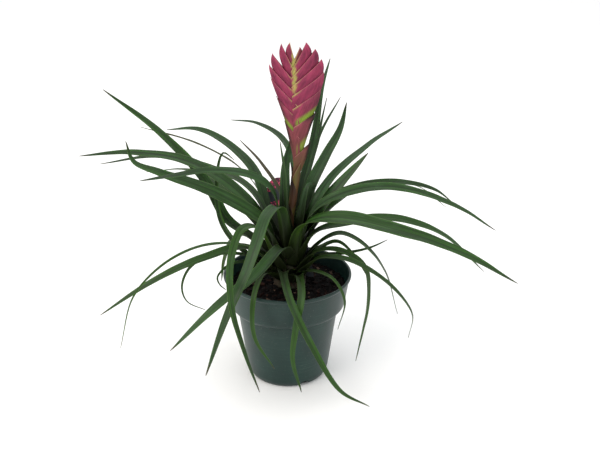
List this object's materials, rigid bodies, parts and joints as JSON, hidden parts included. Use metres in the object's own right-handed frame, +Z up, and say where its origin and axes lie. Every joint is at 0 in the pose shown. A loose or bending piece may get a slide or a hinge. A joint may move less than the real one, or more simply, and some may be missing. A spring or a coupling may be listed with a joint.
{
  "type": "potted pink quill plant",
  "caption": "Round nursery pot holding a rosette of arching strap leaves around one flat spike of overlapping folded bracts, with a leaning plastic plant label.",
  "frame": {"origin": "centre of the pot's underside, on the surface it rests on", "axes": "+Z up along the pot's axis, -Y towards the plant's front, +X to the front view's right"},
  "size_m": [0.3621, 0.2985, 0.2905],
  "materials": {
    "pot": "satin",
    "potting_mix": "rough",
    "label": "semi-gloss",
    "crown": "matte",
    "leaf": "satin",
    "scape": "matte",
    "bract": "satin"
  },
  "bodies": {
    "root": {"pot": "pot", "potting_mix": "potting_mix", "plant_label": "label", "crown": "crown", "leaf_left_high": "leaf", "leaf_left_whip": "leaf", "leaf_back_left_thin": "leaf", "leaf_back_left_arch": "leaf", "leaf_left_long": "leaf", "leaf_left_long_behind": "leaf", "leaf_left_wide": "leaf", "leaf_left_arch": "leaf", "leaf_back_left_straight": "leaf", "leaf_back_arch": "leaf", "leaf_upright_narrow": "leaf", "leaf_upright_left": "leaf", "leaf_upright_tall": "leaf", "leaf_upright_thin": "leaf", "leaf_right_upright": "leaf", "leaf_right_high": "leaf", "leaf_right_short": "leaf", "leaf_right_arch_behind": "leaf", "leaf_right_arch": "leaf", "leaf_right_wide": "leaf", "leaf_right_wide_behind": "leaf", "leaf_right_low_arch": "leaf", "leaf_right_hanging": "leaf", "leaf_right_trailing": "leaf", "leaf_front_right_thin": "leaf", "leaf_front_long": "leaf", "leaf_front_hanging": "leaf", "leaf_front_left_thin": "leaf", "leaf_front_left_straight": "leaf", "leaf_front_left_folded": "leaf", "leaf_front_left_hanging": "leaf", "leaf_left_low_thin": "leaf", "leaf_left_low_wide": "leaf", "leaf_back_over": "leaf", "leaf_back_right": "leaf", "leaf_back_right_low": "leaf", "leaf_back_left_low": "leaf", "leaf_back_hanging": "leaf", "leaf_back_left_hanging": "leaf", "scape": "scape", "bract_right_1": "bract", "bract_right_2": "bract", "bract_right_3": "bract", "bract_right_4": "bract", "bract_right_5": "bract", "bract_right_6": "bract", "bract_right_7": "bract", "bract_right_8": "bract", "bract_left_1": "bract", "bract_left_2": "bract", "bract_left_3": "bract", "bract_left_4": "bract", "bract_left_5": "bract", "bract_left_6": "bract", "bract_left_7": "bract", "bract_left_8": "bract"}
  },
  "joints": []
}
